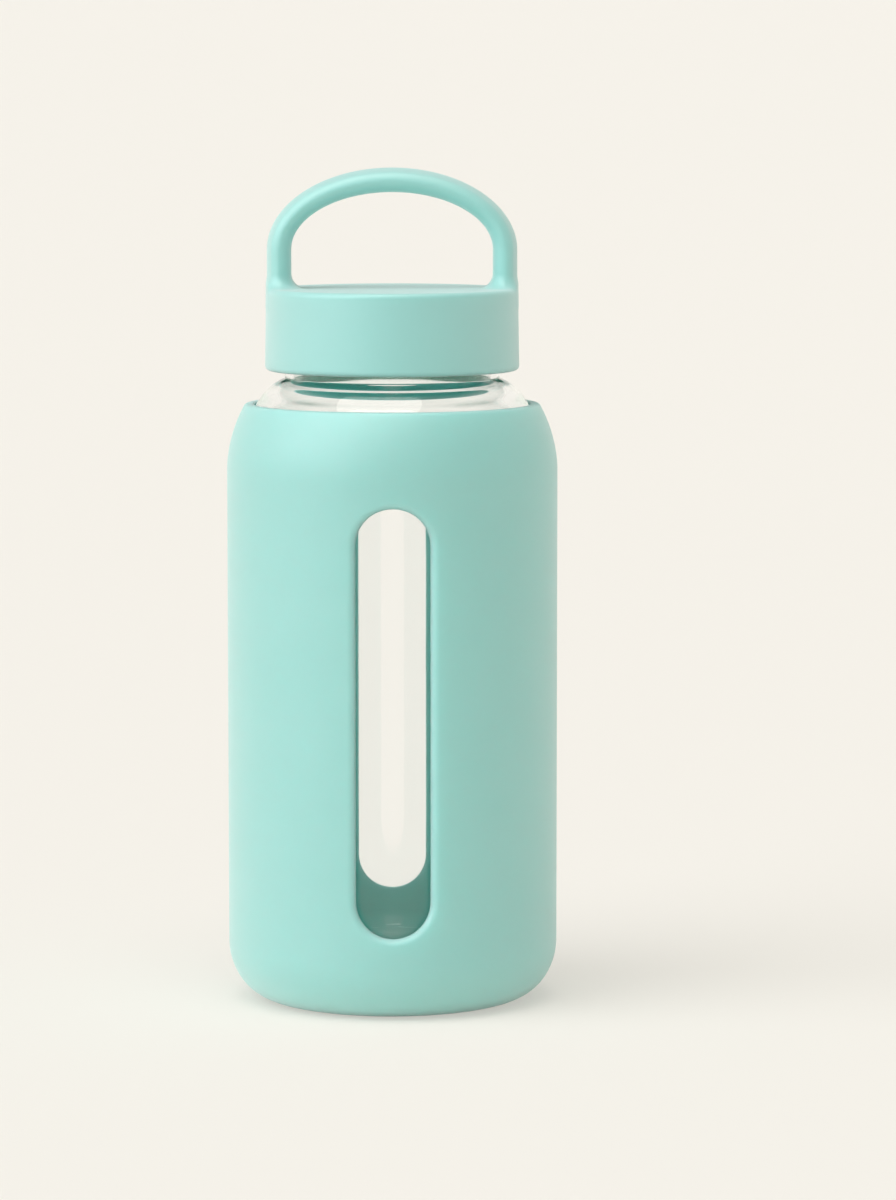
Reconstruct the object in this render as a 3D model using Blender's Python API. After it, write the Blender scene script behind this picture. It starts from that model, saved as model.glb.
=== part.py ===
"""Glass water bottle in a silicone sleeve, with a screw cap that carries a fixed loop.

Lengths are in metres and +Z is up. The origin is the middle of the sleeve's foot, on the surface
the bottle stands on. Heights on the bottle and the sleeve are measured from there. Heights on the
cap's pieces are measured from the glass rim, on the screw axis, where their parent empty stands.
"""
import math

import bmesh
import bpy
from mathutils import Matrix, Vector

MM = 0.001

# Fit between neighbouring pieces, and the fineness of the mesh
FIT_GAP = 0.3 * MM
SEGMENTS = 48
ROUND_STEPS = 2
CURVE_STEPS = 6
WINDOW_STEPS = 10
LOOP_STEPS = 24
LOOP_CORNER_STEPS = 3
SHARP_ANGLE = math.radians(40)

# Silicone sleeve
SLEEVE_RADIUS = 45.0 * MM
SLEEVE_WALL = 2.3 * MM
SLEEVE_BASE = 2.6 * MM
BODY_HEIGHT = 145.2 * MM
HEEL_WIDTH = 13.5 * MM
HEEL_HEIGHT = 16.0 * MM
FOOT_RING_WIDTH = 6.5 * MM
FOOT_RECESS = 0.8 * MM
RIM_OUTER_ROUND = 1.2 * MM
RIM_INNER_ROUND = 0.4 * MM

# Windows through the sleeve, front and back
WINDOW_WIDTH = 19.9 * MM
WINDOW_ABOVE_FLOOR = 22.9 * MM
WINDOW_BELOW_SHOULDER = 7.3 * MM
WINDOW_EDGE_ROUND = 1.8 * MM
WINDOW_ROUND_SWEEP = math.radians(60)

# Glass bottle
GLASS_WALL = 2.7 * MM
GLASS_BASE = 6.0 * MM
GLASS_FOOT_WIDTH = 5.0 * MM
PUNT_RISE = 1.2 * MM
SHOULDER_HEIGHT = 24.8 * MM
SHOULDER_LOWER_PULL = 10.5 * MM
SHOULDER_UPPER_PULL = 6.8 * MM
SHOULDER_TOP_SLOPE = math.radians(13.5)
GLASS_SHOWN = 6.8 * MM
NECK_RADIUS = 29.2 * MM
NECK_WALL = 2.3 * MM
NECK_HEIGHT = 17.5 * MM
NECK_ROUND = 1.5 * MM
LIP_ROUND = 0.8 * MM

# Screw thread, a right-handed ridge on the neck and another inside the liner
THREAD_LEAD = 5.0 * MM
THREAD_DEPTH = 1.2 * MM
THREAD_ROOT = 2.8 * MM
THREAD_CREST = 1.2 * MM
THREAD_GAP = 0.4 * MM
THREAD_SINK = 0.4 * MM
THREAD_BELOW_RIM = 3.2 * MM
THREAD_LEAD_IN = 0.9 * MM
THREAD_FADE = math.radians(45)

# Cap: seal ring, threaded liner, outer shell and carry loop
SEAL_THICKNESS = 2.0 * MM
SEAL_OVERHANG = 1.2 * MM
LINER_WALL = 1.5 * MM
LINER_TOP = 1.6 * MM
LINER_RECESS = 1.0 * MM
SHELL_WALL = 1.7 * MM
SHELL_TOP = 2.4 * MM
SHELL_DRAFT = 0.4 * MM
SHELL_TOP_ROUND = 1.3 * MM
SHELL_FOOT_ROUND = 1.5 * MM
SKIRT_GAP = 2.2 * MM
LOOP_RISE = 32.7 * MM
LOOP_ARCH = 22.3 * MM
LOOP_THICKNESS = 6.6 * MM
LOOP_DEPTH = 13.0 * MM
LOOP_EDGE_ROUND = 2.7 * MM
LOOP_INSET = 0.3 * MM

# Heights above the floor
GLASS_BOTTOM = SLEEVE_BASE + FIT_GAP
NECK_FOOT = BODY_HEIGHT + SHOULDER_HEIGHT
GLASS_RIM = NECK_FOOT + NECK_HEIGHT
SLEEVE_TOP = NECK_FOOT - GLASS_SHOWN
WINDOW_TOP = BODY_HEIGHT - WINDOW_BELOW_SHOULDER

# Radii that follow from the fits
GLASS_RADIUS = SLEEVE_RADIUS - SLEEVE_WALL - FIT_GAP
HEEL_CENTRE = SLEEVE_RADIUS - HEEL_WIDTH
NECK_BORE = NECK_RADIUS - NECK_WALL
LINER_BORE = NECK_RADIUS + THREAD_DEPTH + THREAD_GAP
LINER_RADIUS = LINER_BORE + LINER_WALL
SHELL_BORE = LINER_RADIUS + FIT_GAP
SHELL_RADIUS = SHELL_BORE + SHELL_WALL

# Heights above the glass rim
SEAL_BOTTOM = FIT_GAP
SEAL_TOP = SEAL_BOTTOM + SEAL_THICKNESS
LINER_CEILING = SEAL_TOP + FIT_GAP
LINER_CROWN = LINER_CEILING + LINER_TOP
SHELL_CEILING = LINER_CROWN + FIT_GAP
SHELL_CROWN = SHELL_CEILING + SHELL_TOP
SHELL_FOOT = SKIRT_GAP - NECK_HEIGHT
LINER_FOOT = SHELL_FOOT + LINER_RECESS
LOOP_SPRING = SHELL_CROWN + LOOP_RISE - LOOP_ARCH

# The neck's ridge runs from just above the liner's lowest ridge to just below the rim
THREAD_START = LINER_FOOT + THREAD_LEAD_IN + (THREAD_LEAD + THREAD_ROOT) / 2
THREAD_TURNS = (-THREAD_BELOW_RIM - THREAD_START) / THREAD_LEAD


def clear_scene():
    for obj in list(bpy.data.objects):
        bpy.data.objects.remove(obj, do_unlink=True)


def plain_material(name, colour, roughness, transmission=0.0, ior=1.45):
    material = bpy.data.materials.new(name)
    material.use_nodes = True
    shader = material.node_tree.nodes["Principled BSDF"]
    shader.inputs["Base Color"].default_value = (*colour, 1.0)
    shader.inputs["Roughness"].default_value = roughness
    shader.inputs["Metallic"].default_value = 0.0
    shader.inputs["Transmission Weight"].default_value = transmission
    shader.inputs["IOR"].default_value = ior
    material.diffuse_color = (*colour, 1.0)
    return material


def add_object(name, mesh):
    obj = bpy.data.objects.new(name, mesh)
    bpy.context.collection.objects.link(obj)
    return obj


def add_empty(name, height):
    empty = bpy.data.objects.new(name, None)
    empty.location.z = height
    bpy.context.collection.objects.link(empty)
    return empty


def rounded(corners):
    """Points of an outline given as (radius, height, rounding), with each rounded corner as an arc."""
    points = []
    for index, (radius, height, rounding) in enumerate(corners):
        corner = Vector((radius, height))
        if rounding == 0:
            points.append(corner)
            continue
        before = (Vector(corners[index - 1][:2]) - corner).normalized()
        after = (Vector(corners[index + 1][:2]) - corner).normalized()
        half = before.angle(after) / 2
        reach = rounding / math.tan(half)
        centre = corner + (before + after).normalized() * rounding / math.sin(half)
        start = corner + before * reach - centre
        end = corner + after * reach - centre
        first = math.atan2(start.y, start.x)
        sweep = math.atan2(end.y, end.x) - first
        sweep = (sweep + math.pi) % math.tau - math.pi
        for step in range(ROUND_STEPS + 1):
            angle = first + sweep * step / ROUND_STEPS
            points.append(centre + rounding * Vector((math.cos(angle), math.sin(angle))))
    return points


def sharp(points):
    """The same points as corners with no rounding."""
    return [(point[0], point[1], 0) for point in points]


def turned(name, points, closed=False):
    """A solid turned about Z from an outline that runs down its outer side, top to bottom."""
    count = len(points)
    edges = [(index, index + 1) for index in range(count - 1)]
    if closed:
        edges.append((count - 1, 0))
    mesh = bpy.data.meshes.new(name)
    mesh.from_pydata([(point[0], 0, point[1]) for point in points], edges, [])
    obj = add_object(name, mesh)
    screw = obj.modifiers.new("turn", "SCREW")
    screw.axis = "Z"
    screw.angle = math.tau
    screw.steps = SEGMENTS
    screw.render_steps = SEGMENTS
    screw.use_merge_vertices = True
    screw.merge_threshold = 0.001 * MM
    return obj


def lofted(name, rings):
    """A closed solid skinned over a row of rings with the same number of points, capped at both ends."""
    shape = bmesh.new()
    loops = [[shape.verts.new(point) for point in ring] for ring in rings]
    count = len(rings[0])
    for lower, upper in zip(loops, loops[1:]):
        for index in range(count):
            after = (index + 1) % count
            shape.faces.new((lower[index], lower[after], upper[after], upper[index]))
    ends = [shape.faces.new(loops[0]), shape.faces.new(loops[-1])]
    bmesh.ops.triangulate(shape, faces=ends)
    bmesh.ops.recalc_face_normals(shape, faces=shape.faces)
    mesh = bpy.data.meshes.new(name)
    shape.to_mesh(mesh)
    shape.free()
    return add_object(name, mesh)


def combine(obj, other, operation):
    """Join or cut with another solid, which becomes a hidden guide."""
    other.hide_render = True
    other.display_type = "WIRE"
    boolean = obj.modifiers.new(other.name, "BOOLEAN")
    boolean.operation = operation
    boolean.object = other


def settle(obj, material, parent):
    """Fix the finished shape as the object's own mesh, shade it, and hang it on its parent."""
    guides = [modifier.object for modifier in obj.modifiers if modifier.type == "BOOLEAN"]
    depsgraph = bpy.context.evaluated_depsgraph_get()
    mesh = bpy.data.meshes.new_from_object(obj.evaluated_get(depsgraph))
    obj.modifiers.clear()
    obj.data = mesh
    for guide in guides:
        bpy.data.objects.remove(guide, do_unlink=True)
    mesh.materials.clear()
    mesh.materials.append(material)
    mesh.shade_smooth()
    mesh.set_sharp_from_angle(angle=SHARP_ANGLE)
    obj.parent = parent


def heel(inset, floor):
    """Quarter ellipse of the base corner, from the floor out to the wall, set in from the sleeve's face."""
    points = []
    for step in range(CURVE_STEPS + 1):
        angle = math.pi / 2 * step / CURVE_STEPS
        across = (HEEL_WIDTH - inset) * math.sin(angle)
        down = (HEEL_HEIGHT - floor) * math.cos(angle)
        points.append(Vector((HEEL_CENTRE + across, HEEL_HEIGHT - down)))
    return points


def shoulder_point(share, offset):
    """A point on the glass shoulder, moved out along its normal. Share runs from 0 at the wall to 1."""
    slope = Vector((math.cos(SHOULDER_TOP_SLOPE), -math.sin(SHOULDER_TOP_SLOPE)))
    low = Vector((GLASS_RADIUS, BODY_HEIGHT))
    low_handle = low + Vector((0, SHOULDER_LOWER_PULL))
    high = Vector((NECK_RADIUS, NECK_FOOT))
    high_handle = high + slope * SHOULDER_UPPER_PULL
    rest = 1 - share
    point = low * rest**3 + low_handle * 3 * rest**2 * share
    point += high_handle * 3 * rest * share**2 + high * share**3
    along = (low_handle - low) * rest**2 + (high_handle - low_handle) * 2 * rest * share
    along += (high - high_handle) * share**2
    return point + Vector((along.y, -along.x)).normalized() * offset


def shoulder(offset, last):
    """The shoulder's points from the wall up to a share of its length."""
    return [shoulder_point(last * step / CURVE_STEPS, offset) for step in range(CURVE_STEPS + 1)]


def shoulder_share(height, offset):
    """The share of the shoulder at which it reaches a height, found by halving."""
    low = 0.0
    high = 1.0
    for _ in range(40):
        middle = (low + high) / 2
        if shoulder_point(middle, offset).y < height:
            low = middle
        else:
            high = middle
    return low


def thread_ridge(name, wall, crest, start):
    """A right-handed ridge that winds up from a start height, sunk into the wall that carries it.

    Its sections stand half a facet away from the wall's own edges, so that the two meshes cross cleanly.
    """
    sink = math.copysign(THREAD_SINK, wall - crest)
    steps = round(THREAD_TURNS * SEGMENTS)
    rings = []
    for step in range(steps + 1):
        angle = math.tau * (step + 0.5) / SEGMENTS
        from_end = math.tau * min(step, steps - step) / SEGMENTS
        fade = max(0.15, min(1.0, from_end / THREAD_FADE))
        height = start + THREAD_LEAD * step / SEGMENTS
        tip = wall + (crest - wall) * fade
        around = Matrix.Rotation(angle, 3, "Z")
        section = (
            (wall + sink, -THREAD_ROOT / 2),
            (tip, -THREAD_CREST / 2),
            (tip, THREAD_CREST / 2),
            (wall + sink, THREAD_ROOT / 2),
        )
        rings.append([around @ Vector((radius, 0, height + rise)) for radius, rise in section])
    return lofted(name, rings)


def window_plug(name):
    """The plug that cuts one window: round ends, sides that point at the axis, and a rounded mouth."""
    reach = SLEEVE_WALL
    inner = SLEEVE_RADIUS - SLEEVE_WALL
    stations = [(inner - reach, 0.0)]
    for step in range(ROUND_STEPS + 1):
        angle = WINDOW_ROUND_SWEEP * step / ROUND_STEPS
        depth = WINDOW_EDGE_ROUND * (1 - math.sin(angle))
        stations.append((SLEEVE_RADIUS - depth, WINDOW_EDGE_ROUND * (1 - math.cos(angle))))
    mouth, flare = stations[-1]
    stations.append((mouth + reach, flare + reach * math.tan(WINDOW_ROUND_SWEEP)))
    half = WINDOW_WIDTH / 2
    rings = []
    for radius, flare in stations:
        ring = []
        for centre, first in ((WINDOW_TOP - half, 0.0), (WINDOW_ABOVE_FLOOR + half, math.pi)):
            for step in range(WINDOW_STEPS + 1):
                angle = first + math.pi * step / WINDOW_STEPS
                turn = (half + flare) * math.cos(angle) / inner
                height = centre + (half + flare) * math.sin(angle)
                ring.append((radius * math.sin(turn), -radius * math.cos(turn), height))
        rings.append(ring)
    return lofted(name, rings)


def carry_loop(name):
    """The loop: two straight legs and a half-elliptic arch with a round-cornered section."""
    outer = SHELL_RADIUS - LOOP_INSET
    inner = outer - LOOP_THICKNESS
    root = SHELL_CROWN - 0.8 * SHELL_TOP
    arch = [math.pi * step / LOOP_STEPS for step in range(LOOP_STEPS + 1)]
    stations = [(0.0, root)]
    stations += [(angle, LOOP_SPRING) for angle in arch]
    stations.append((math.pi, root))
    edge = min(LOOP_EDGE_ROUND, 0.45 * LOOP_THICKNESS)
    section = []
    for across, along, first in ((1, 1, 0), (-1, 1, 1), (-1, -1, 2), (1, -1, 3)):
        for step in range(LOOP_CORNER_STEPS + 1):
            angle = math.pi / 2 * (first + step / LOOP_CORNER_STEPS)
            thick = across * (LOOP_THICKNESS / 2 - edge) + edge * math.cos(angle)
            deep = along * (LOOP_DEPTH / 2 - edge) + edge * math.sin(angle)
            section.append((thick, deep))
    rings = []
    for angle, base in stations:
        far = Vector((outer * math.cos(angle), 0, base + LOOP_ARCH * math.sin(angle)))
        rise = LOOP_ARCH - LOOP_THICKNESS
        near = Vector((inner * math.cos(angle), 0, base + rise * math.sin(angle)))
        middle = (far + near) / 2
        outward = (far - near).normalized()
        rings.append([middle + outward * thick + Vector((0, deep, 0)) for thick, deep in section])
    return lofted(name, rings)


def make_sleeve(parent):
    wall = FIT_GAP + SLEEVE_WALL
    inside = shoulder(FIT_GAP, shoulder_share(SLEEVE_TOP, FIT_GAP))
    outside = shoulder(wall, shoulder_share(SLEEVE_TOP, wall))
    foot = HEEL_CENTRE - FOOT_RING_WIDTH
    corners = [(0, SLEEVE_BASE, 0)]
    corners += sharp(heel(SLEEVE_WALL, SLEEVE_BASE))
    corners += sharp(inside[:-1])
    corners.append((inside[-1].x, SLEEVE_TOP, min(RIM_INNER_ROUND, 0.2 * SLEEVE_WALL)))
    corners.append((outside[-1].x, SLEEVE_TOP, min(RIM_OUTER_ROUND, 0.6 * SLEEVE_WALL)))
    corners += sharp(outside[-2::-1])
    corners += sharp(heel(0, 0)[::-1])
    corners += [(foot, 0, 0), (foot - FOOT_RECESS, FOOT_RECESS, 0), (0, FOOT_RECESS, 0)]
    sleeve = turned("silicone_sleeve", rounded(corners))
    for side in range(2):
        plug = window_plug(f"window_plug_{side}")
        plug.rotation_euler.z = math.pi * side
        combine(sleeve, plug, "DIFFERENCE")
    silicone = plain_material("matte silicone", (0.30, 0.62, 0.56), 0.6)
    settle(sleeve, silicone, parent)


def make_bottle(parent):
    floor = GLASS_BOTTOM + GLASS_BASE
    before_neck = 1 - 1 / CURVE_STEPS
    ledge = shoulder_point(1, -GLASS_WALL)
    neck_inside = ledge.y + (ledge.x - NECK_BORE) * math.tan(SHOULDER_TOP_SLOPE)
    lip = min(LIP_ROUND, 0.4 * NECK_WALL)
    punt = HEEL_CENTRE - GLASS_FOOT_WIDTH
    corners = [(0, floor, 0)]
    corners += sharp(heel(SLEEVE_WALL + FIT_GAP + GLASS_WALL, floor))
    corners += sharp(shoulder(-GLASS_WALL, before_neck))
    corners += [(NECK_BORE, neck_inside, NECK_ROUND), (NECK_BORE, GLASS_RIM, lip)]
    corners += [(NECK_RADIUS, GLASS_RIM, lip), (NECK_RADIUS, NECK_FOOT, NECK_ROUND)]
    corners += sharp(shoulder(0, before_neck)[::-1])
    corners += sharp(heel(SLEEVE_WALL + FIT_GAP, GLASS_BOTTOM)[::-1])
    for step in range(CURVE_STEPS + 1):
        share = 1 - step / CURVE_STEPS
        corners.append((punt * share, GLASS_BOTTOM + PUNT_RISE * (1 - share**2), 0))
    bottle = turned("glass_bottle", rounded(corners))
    crest = NECK_RADIUS + THREAD_DEPTH
    ridge = thread_ridge("neck_ridge", NECK_RADIUS, crest, GLASS_RIM + THREAD_START)
    combine(bottle, ridge, "UNION")
    glass = plain_material("clear glass", (0.95, 0.98, 0.97), 0.03, transmission=1.0, ior=1.5)
    settle(bottle, glass, parent)


def make_seal(parent):
    outer = LINER_BORE - FIT_GAP
    inner = NECK_BORE - SEAL_OVERHANG
    corners = [(outer, SEAL_TOP), (outer, SEAL_BOTTOM), (inner, SEAL_BOTTOM), (inner, SEAL_TOP)]
    seal = turned("seal_ring", corners, closed=True)
    rubber = plain_material("clear silicone rubber", (0.80, 0.84, 0.82), 0.5)
    settle(seal, rubber, parent)


def make_liner(parent):
    corners = [(0, LINER_CROWN, 0), (LINER_RADIUS, LINER_CROWN, LINER_WALL / 3)]
    corners += [(LINER_RADIUS, LINER_FOOT, LINER_WALL / 3), (LINER_BORE, LINER_FOOT, LINER_WALL / 3)]
    corners += [(LINER_BORE, LINER_CEILING, 0), (0, LINER_CEILING, 0)]
    liner = turned("thread_liner", rounded(corners))
    crest = LINER_BORE - THREAD_DEPTH
    ridge = thread_ridge("liner_ridge", LINER_BORE, crest, THREAD_START - THREAD_LEAD / 2)
    combine(liner, ridge, "UNION")
    plastic = plain_material("moulded polypropylene, inner", (0.34, 0.63, 0.58), 0.45)
    settle(liner, plastic, parent)


def make_shell(parent):
    foot_radius = SHELL_RADIUS + SHELL_DRAFT
    foot_round = min(SHELL_FOOT_ROUND, 0.7 * (foot_radius - SHELL_BORE))
    corners = [(0, SHELL_CROWN, 0), (SHELL_RADIUS, SHELL_CROWN, SHELL_TOP_ROUND)]
    corners += [(foot_radius, SHELL_FOOT, foot_round), (SHELL_BORE, SHELL_FOOT, 0.2 * SHELL_WALL)]
    corners += [(SHELL_BORE, SHELL_CEILING, 0), (0, SHELL_CEILING, 0)]
    shell = turned("cap_shell", rounded(corners))
    combine(shell, carry_loop("loop"), "UNION")
    plastic = plain_material("moulded polypropylene, matte", (0.32, 0.63, 0.57), 0.5)
    settle(shell, plastic, parent)


def main():
    clear_scene()
    bottle_frame = add_empty("bottle_frame", 0)
    cap_axis = add_empty("cap_axis", GLASS_RIM)
    cap_axis.parent = bottle_frame
    make_bottle(bottle_frame)
    make_sleeve(bottle_frame)
    make_seal(cap_axis)
    make_liner(cap_axis)
    make_shell(cap_axis)


main()
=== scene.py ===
# %% [markdown]
# # A glass water bottle in a soft sleeve
#
# This lesson dresses a finished working model: a clear glass bottle, a matte silicone sleeve with two
# tall windows, and a screw cap whose carry loop is part of the same moulding. The model's solids are
# exact but coarse. Here each one is replaced by a smooth mesh of the same size, with a material that
# starts from what the real thing is made of.

# %% Load the model and note its box
import math

import bmesh
import bpy
import numpy as np
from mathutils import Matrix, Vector


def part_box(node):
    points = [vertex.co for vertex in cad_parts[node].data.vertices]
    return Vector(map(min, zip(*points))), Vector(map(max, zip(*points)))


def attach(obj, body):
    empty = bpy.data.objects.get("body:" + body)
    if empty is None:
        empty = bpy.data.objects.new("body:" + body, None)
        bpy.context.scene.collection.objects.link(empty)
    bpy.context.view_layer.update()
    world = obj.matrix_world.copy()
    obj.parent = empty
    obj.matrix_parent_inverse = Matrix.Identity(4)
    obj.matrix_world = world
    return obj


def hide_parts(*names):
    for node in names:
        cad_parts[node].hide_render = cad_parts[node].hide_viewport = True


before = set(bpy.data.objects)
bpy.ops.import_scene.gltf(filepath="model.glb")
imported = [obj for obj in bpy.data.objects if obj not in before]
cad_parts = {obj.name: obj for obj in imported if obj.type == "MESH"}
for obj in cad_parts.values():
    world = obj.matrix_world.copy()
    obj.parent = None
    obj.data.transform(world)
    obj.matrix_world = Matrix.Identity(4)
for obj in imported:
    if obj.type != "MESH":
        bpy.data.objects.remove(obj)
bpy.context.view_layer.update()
MM = 0.001


def box_mm(node):
    """A node's lowest and highest corner in millimetres."""
    low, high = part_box(node)
    return np.array(low) / MM, np.array(high) / MM


# %% [markdown]
# ## Camera
#
# The picture was taken with a long lens from about 1.3 m, a little above the loop and tipped down six
# degrees. A long lens keeps the two sides of the bottle nearly parallel. The same view could be faked
# with a shifted wide lens, but then the ellipse of the cap and the ellipse of the foot would not agree.
# The camera is turned slightly to its right, which is what sets the bottle left of the middle.

# %% Make the camera
CAMERA_PLACE = Vector((-3.6, -1344.0, 251.6)) * MM
CAMERA_TIP = math.radians(6.045)
CAMERA_TURN = math.radians(-0.80)
CAMERA_LENS = 148.3
SENSOR_WIDTH = 36.0

camera = bpy.data.objects.new("camera", bpy.data.cameras.new("camera"))
camera.data.lens = CAMERA_LENS
camera.data.sensor_width = SENSOR_WIDTH
camera.location = CAMERA_PLACE
camera.rotation_euler = (math.pi / 2 - CAMERA_TIP, 0.0, CAMERA_TURN)
bpy.context.scene.collection.objects.link(camera)
bpy.context.scene.camera = camera
print("camera at", [round(value, 4) for value in camera.location], "lens", camera.data.lens)

# %% [markdown]
# ## Colour and nodes
#
# Colours are written as sRGB hex values, the way a paint card or a browser shows them. Shaders add light
# up, so they need linear values, and one function turns the one into the other. A second function adds
# a shader node: an input that is given a socket is linked, and any other input is simply set.


# %% Helpers for colours and shader nodes
def linear(code):
    """Linear RGBA of an sRGB hex colour such as '#9fd6cc'."""
    values = [int(code[place:place + 2], 16) / 255 for place in (1, 3, 5)]
    return [v / 12.92 if v <= 0.04045 else ((v + 0.055) / 1.055) ** 2.4 for v in values] + [1.0]


def add_node(tree, kind, inputs=None, **settings):
    """One shader node with its settings, its input values and its links."""
    node = tree.nodes.new(kind)
    for name, value in settings.items():
        setattr(node, name, value)
    for name, value in (inputs or {}).items():
        if isinstance(value, bpy.types.NodeSocket):
            tree.links.new(value, node.inputs[name])
        else:
            node.inputs[name].default_value = value
    return node


def new_material(name):
    """An empty node material and its tree."""
    material = bpy.data.materials.new(name)
    material.use_nodes = True
    material.node_tree.nodes.clear()
    return material, material.node_tree


print("mint in linear light:", [round(value, 3) for value in linear("#8ad3cc")])

# %% [markdown]
# ## Floor
#
# The photograph has a cream ground that runs into a cream background with no horizon. A studio does that
# with one long sheet of paper, bent up behind the object. A bent sheet shows a change of tone at its bend,
# and hides its edge from one side only. So the sheet is a very wide and very shallow dish here: flat under
# the bottle, and rising so slowly further out that its slope is never seen from any side.

# %% Make the floor
# Each ring of the dish: its distance from the bottle and its height, in metres.
DISH_RINGS = [
    (1.0, 0.0), (1.4, 0.003), (1.8, 0.012), (2.4, 0.035), (4.0, 0.115),
    (12.0, 0.55), (16.0, 0.95), (20.0, 1.65), (25.0, 3.0), (30.0, 4.9)]
DISH_COLUMNS = 96

dish_points = [(0.0, 0.0, 0.0)]
dish_faces = []
for ring, (radius, height) in enumerate(DISH_RINGS):
    for column in range(DISH_COLUMNS):
        angle = math.tau * column / DISH_COLUMNS
        dish_points.append((radius * math.cos(angle), radius * math.sin(angle), height))
        this = 1 + ring * DISH_COLUMNS + column
        after = 1 + ring * DISH_COLUMNS + (column + 1) % DISH_COLUMNS
        inner = (0,) if ring == 0 else (after - DISH_COLUMNS, this - DISH_COLUMNS)
        dish_faces.append((this, after) + inner)
dish_mesh = bpy.data.meshes.new("paper_floor")
dish_mesh.from_pydata(dish_points, [], dish_faces)
dish_mesh.shade_smooth()
floor = bpy.data.objects.new("paper_floor", dish_mesh)
bpy.context.scene.collection.objects.link(floor)
print("made", floor.name, "with", len(dish_mesh.polygons), "faces")

# %% [markdown]
# ## Background paper
#
# Studio paper is dead matte. In the photograph the bottle's shadow on it is very faint, because paper all
# round the set throws light back into the shadow. More lamps would do that too, but they would also bleach
# the bottle. So what the camera, gloss and glass see of the sheet is half real light, which keeps the
# shadow, and half a plain glow in the colour of the background.

# %% Paper material
BACKDROP = "#f6f2eb"
PAPER_GLOW = 0.5

paper, tree = new_material("matte cream background paper")
sheet = add_node(tree, "ShaderNodeBsdfPrincipled", {
    "Base Color": linear("#ebe9e3"), "Roughness": 0.95, "Specular IOR Level": 0.1})
glow = add_node(tree, "ShaderNodeEmission", {"Color": linear(BACKDROP), "Strength": 1.0})
ray = add_node(tree, "ShaderNodeLightPath")
seen = add_node(tree, "ShaderNodeMath", {
    0: ray.outputs["Is Camera Ray"], 1: ray.outputs["Is Glossy Ray"]}, operation="ADD")
seen = add_node(tree, "ShaderNodeMath", {
    0: seen.outputs[0], 1: ray.outputs["Is Transmission Ray"]}, operation="ADD", use_clamp=True)
glow_share = add_node(tree, "ShaderNodeMath", {0: seen.outputs[0], 1: PAPER_GLOW}, operation="MULTIPLY")
mix = add_node(tree, "ShaderNodeMixShader", {
    0: glow_share.outputs[0], 1: sheet.outputs[0], 2: glow.outputs[0]})
add_node(tree, "ShaderNodeOutputMaterial", {"Surface": mix.outputs[0]})
dish_mesh.materials.append(paper)
print("made", paper.name)

# %% [markdown]
# ## Light
#
# A wide soft source stands low on the left and in front, and shades the round body from side to side. A
# second one hangs overhead and a little in front. It lights the top of the cap, the loop and the sleeve's
# shoulder. Panels close by would fall off along the floor, so both sources are sun lamps with broad
# discs: they light every part of the floor alike and still give soft shadows.


# %% Make the two sources
def add_source(name, towards, strength, width_degrees, colour):
    """A far soft source in a direction, as wide across as an angle."""
    lamp = bpy.data.lights.new(name, "SUN")
    lamp.energy = strength
    lamp.angle = math.radians(width_degrees)
    lamp.color = linear(colour)[:3]
    source = bpy.data.objects.new(name, lamp)
    source.location = Vector(towards).normalized()
    source.rotation_euler = Vector(towards).to_track_quat("Z", "Y").to_euler()
    bpy.context.scene.collection.objects.link(source)
    return source


side_source = add_source(
    "wide_side_source", (-0.83, -0.42, 0.38), strength=1.85, width_degrees=60, colour="#f6faff")
top_source = add_source(
    "overhead_source", (-0.14, -0.31, 0.94), strength=1.45, width_degrees=50, colour="#fffdf8")
print("lit by", side_source.name, "and", top_source.name)

# %% [markdown]
# ## Surround
#
# An even, slightly warm surround fills the shadows at about half the strength of white. To the camera,
# and to rays that passed through clear glass, it shows the backdrop's own cream at full strength instead.
# Those are the mirror-sharp rays, which Cycles calls singular. The broad gloss of rubber and plastic is
# left out, because a brighter surround would bleach them all over.

# %% Make the surround
SURROUND_STRENGTH = 0.47

world = bpy.data.worlds.new("soft surround")
world.use_nodes = True
tree = world.node_tree
tree.nodes.clear()
fill = add_node(tree, "ShaderNodeBackground", {"Color": linear("#fdf9f2"), "Strength": SURROUND_STRENGTH})
backdrop = add_node(tree, "ShaderNodeBackground", {"Color": linear(BACKDROP), "Strength": 1.0})
ray = add_node(tree, "ShaderNodeLightPath")
seen = add_node(tree, "ShaderNodeMath", {
    0: ray.outputs["Is Camera Ray"], 1: ray.outputs["Is Singular Ray"]}, operation="ADD", use_clamp=True)
mix = add_node(tree, "ShaderNodeMixShader", {
    0: seen.outputs[0], 1: fill.outputs[0], 2: backdrop.outputs[0]})
add_node(tree, "ShaderNodeOutputWorld", {"Surface": mix.outputs[0]})
bpy.context.scene.world = world
bpy.context.scene.view_settings.view_transform = "Standard"
print("made", world.name, "at strength", SURROUND_STRENGTH)

# %% [markdown]
# ## Three patterns of a moulded skin
#
# A moulded surface is never one flat colour. Its tone drifts over a couple of centimetres with the
# thickness of the wall, its gloss wanders a little, and the mould leaves a fine grain. Painted pictures
# could hold all that, but noise that is worked out on the spot has no seams and no fixed sharpness. Each
# pattern is as large as its real size in millimetres says.


# %% Helpers for drift, grain and gloss
def mottled(tree, light, dark, patch_mm):
    """A colour that drifts between two tones in soft patches of a given size."""
    place = add_node(tree, "ShaderNodeTexCoord")
    drift = add_node(tree, "ShaderNodeTexNoise", {
        "Vector": place.outputs["Object"], "Scale": 1 / (patch_mm * MM), "Detail": 2.0})
    return add_node(tree, "ShaderNodeMix", {
        "Factor": drift.outputs["Fac"], 6: linear(light), 7: linear(dark)}, data_type="RGBA")


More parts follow.
